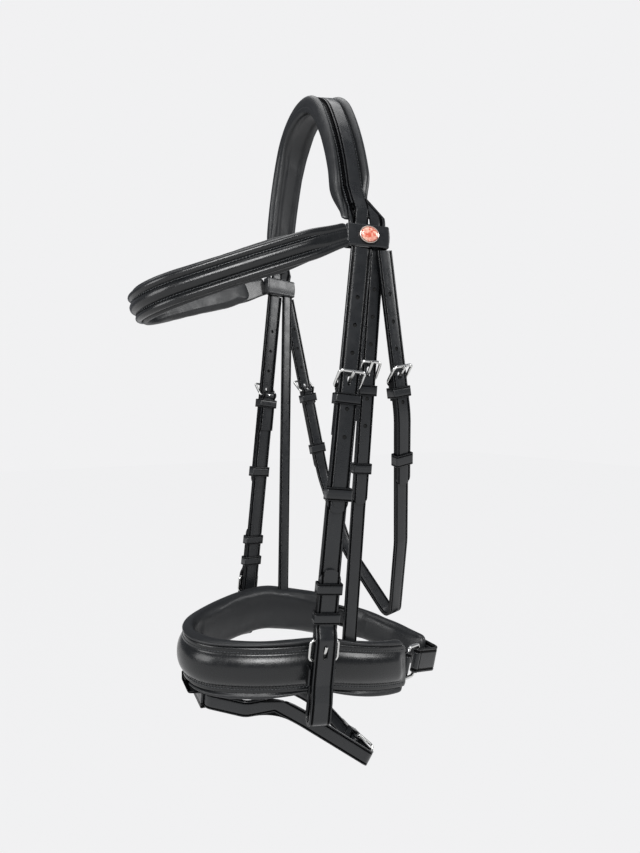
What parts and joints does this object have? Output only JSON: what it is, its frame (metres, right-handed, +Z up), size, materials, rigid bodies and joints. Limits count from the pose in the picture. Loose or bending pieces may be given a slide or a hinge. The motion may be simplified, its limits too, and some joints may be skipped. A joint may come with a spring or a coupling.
{
  "type": "snaffle bridle",
  "caption": "Leather snaffle bridle with a padded headpiece, ridged browband with rosettes, cheekpieces, throatlatch, padded crank noseband and flash strap.",
  "frame": {"origin": "the poll seat, under the middle of the headpiece padding, on the middle plane of the head", "axes": "+X points forward to the browband, +Y to the horse's left (the near side), +Z up; the bridle hangs as on a head"},
  "size_m": [0.3281, 0.2307, 0.7088],
  "materials": {
    "strap_leather": "smooth black strap leather with a soft shine",
    "padding_leather": "soft matt black leather over padding",
    "steel": "polished stainless steel",
    "rosette_rim": "polished rim",
    "rosette_enamel": "glossy copper red enamel, plain"
  },
  "bodies": {
    "headpiece_body": {"headpiece": "strap_leather", "headpiece_padding": "padding_leather", "noseband_headstrap": "strap_leather"},
    "browband_body": {"browband": "strap_leather", "browband_padding": "padding_leather", "near_rosette_bezel": "rosette_rim", "far_rosette_bezel": "rosette_rim", "near_rosette_inlay": "rosette_enamel", "far_rosette_inlay": "rosette_enamel"},
    "near_cheek_body": {"near_cheek_billet": "strap_leather", "near_cheekpiece": "strap_leather", "near_cheek_keeper": "strap_leather", "near_bit_chape": "strap_leather", "near_bit_buckle": "steel", "near_bit_tongue": "steel", "near_bit_keeper": "strap_leather"},
    "near_cheek_runner_body": {"near_cheek_runner": "strap_leather"},
    "near_bit_runner_body": {"near_bit_runner": "strap_leather"},
    "near_cheek_buckle_body": {"near_cheek_buckle": "steel", "near_cheek_tongue": "steel"},
    "far_cheek_body": {"far_cheek_billet": "strap_leather", "far_cheekpiece": "strap_leather", "far_cheek_keeper": "strap_leather", "far_bit_chape": "strap_leather", "far_bit_buckle": "steel", "far_bit_tongue": "steel", "far_bit_keeper": "strap_leather"},
    "far_cheek_runner_body": {"far_cheek_runner": "strap_leather"},
    "far_bit_runner_body": {"far_bit_runner": "strap_leather"},
    "far_cheek_buckle_body": {"far_cheek_buckle": "steel", "far_cheek_tongue": "steel"},
    "throatlatch_body": {"throatlatch": "strap_leather", "near_throat_billet": "strap_leather", "far_throat_billet": "strap_leather", "near_throat_keeper": "strap_leather", "far_throat_keeper": "strap_leather"},
    "near_throat_runner_body": {"near_throat_runner": "strap_leather"},
    "near_throat_buckle_body": {"near_throat_buckle": "steel", "near_throat_tongue": "steel"},
    "far_throat_runner_body": {"far_throat_runner": "strap_leather"},
    "far_throat_buckle_body": {"far_throat_buckle": "steel", "far_throat_tongue": "steel"},
    "noseband_body": {"near_headstrap_billet": "strap_leather", "near_noseband_hanger": "strap_leather", "far_noseband_hanger": "strap_leather", "hanger_keeper": "strap_leather", "noseband": "strap_leather", "noseband_padding": "padding_leather", "crank_strap": "strap_leather", "crank_lug": "strap_leather", "crank_ring": "steel", "chin_pad": "padding_leather", "crank_keepers": "strap_leather", "flash_loop": "strap_leather"},
    "hanger_runner_body": {"hanger_runner": "strap_leather"},
    "hanger_buckle_body": {"hanger_buckle": "steel", "hanger_tongue": "steel"},
    "flash_body": {"flash_strap": "strap_leather", "flash_buckle": "steel", "flash_keeper": "strap_leather"}
  },
  "joints": [
    {"name": "browband_slide", "type": "slide", "parent": "headpiece_body", "child": "browband_body", "axis": [0, 0, 1], "range_m": [0, 0.004]},
    {"name": "near_cheek_swing", "type": "hinge", "parent": "headpiece_body", "child": "near_cheek_body", "pos_m": [0.0057, 0.10234, -0.17073], "axis": [0.9781, -0.2079, 0], "range_deg": [0, 15]},
    {"name": "near_cheek_runner_slide", "type": "slide", "parent": "near_cheek_body", "child": "near_cheek_runner_body", "axis": [0.1022, -0.0107, -0.9947], "range_m": [-0.044, 0.01]},
    {"name": "near_bit_runner_slide", "type": "slide", "parent": "near_cheek_body", "child": "near_bit_runner_body", "axis": [0.1022, -0.0107, -0.9947], "range_m": [-0.012, 0.013]},
    {"name": "near_cheek_buckle_tilt", "type": "hinge", "parent": "near_cheek_body", "child": "near_cheek_buckle_body", "pos_m": [0.01765, 0.09548, -0.29831], "axis": [0.973, -0.2068, 0.1022], "range_deg": [0, 8]},
    {"name": "far_cheek_swing", "type": "hinge", "parent": "headpiece_body", "child": "far_cheek_body", "pos_m": [0.0057, -0.10234, -0.17073], "axis": [-0.9781, -0.2079, 0], "range_deg": [0, 15]},
    {"name": "far_cheek_runner_slide", "type": "slide", "parent": "far_cheek_body", "child": "far_cheek_runner_body", "axis": [0.1022, 0.0107, -0.9947], "range_m": [-0.044, 0.01]},
    {"name": "far_bit_runner_slide", "type": "slide", "parent": "far_cheek_body", "child": "far_bit_runner_body", "axis": [0.1022, 0.0107, -0.9947], "range_m": [-0.012, 0.013]},
    {"name": "far_cheek_buckle_tilt", "type": "hinge", "parent": "far_cheek_body", "child": "far_cheek_buckle_body", "pos_m": [0.01765, -0.09548, -0.29831], "axis": [-0.973, -0.2068, -0.1022], "range_deg": [0, 8]},
    {"name": "throatlatch_swing", "type": "hinge", "parent": "headpiece_body", "child": "throatlatch_body", "pos_m": [-0.01272, 0, -0.1723], "axis": [0, 1, 0], "range_deg": [-1, 2]},
    {"name": "near_throat_runner_slide", "type": "slide", "parent": "throatlatch_body", "child": "near_throat_runner_body", "axis": [-0.169, -0.2306, -0.9583], "range_m": [-0.02, 0.016]},
    {"name": "near_throat_buckle_tilt", "type": "hinge", "parent": "throatlatch_body", "child": "near_throat_buckle_body", "pos_m": [-0.03576, 0.09858, -0.2907], "axis": [0.9848, 0, -0.1736], "range_deg": [0, 8]},
    {"name": "far_throat_runner_slide", "type": "slide", "parent": "throatlatch_body", "child": "far_throat_runner_body", "axis": [-0.173, 0.0839, -0.9813], "range_m": [-0.05, 0.012]},
    {"name": "far_throat_buckle_tilt", "type": "hinge", "parent": "throatlatch_body", "child": "far_throat_buckle_body", "pos_m": [-0.03566, -0.09289, -0.2901], "axis": [-0.9848, 0, 0.1736], "range_deg": [0, 8]},
    {"name": "noseband_swing", "type": "hinge", "parent": "headpiece_body", "child": "noseband_body", "pos_m": [-0.00344, 0, -0.16], "axis": [0, 1, 0], "range_deg": [-1, 3]},
    {"name": "hanger_runner_slide", "type": "slide", "parent": "noseband_body", "child": "hanger_runner_body", "axis": [0.0429, -0.057, -0.9974], "range_m": [-0.035, 0.025]},
    {"name": "hanger_buckle_tilt", "type": "hinge", "parent": "noseband_body", "child": "hanger_buckle_body", "pos_m": [-0.00717, 0.08994, -0.28947], "axis": [0.9767, -0.2076, 0.0539], "range_deg": [0, 8]},
    {"name": "flash_swing", "type": "hinge", "parent": "noseband_body", "child": "flash_body", "pos_m": [0.126, 0, -0.593], "axis": [0, 1, 0], "range_deg": [-5, 1]}
  ]
}
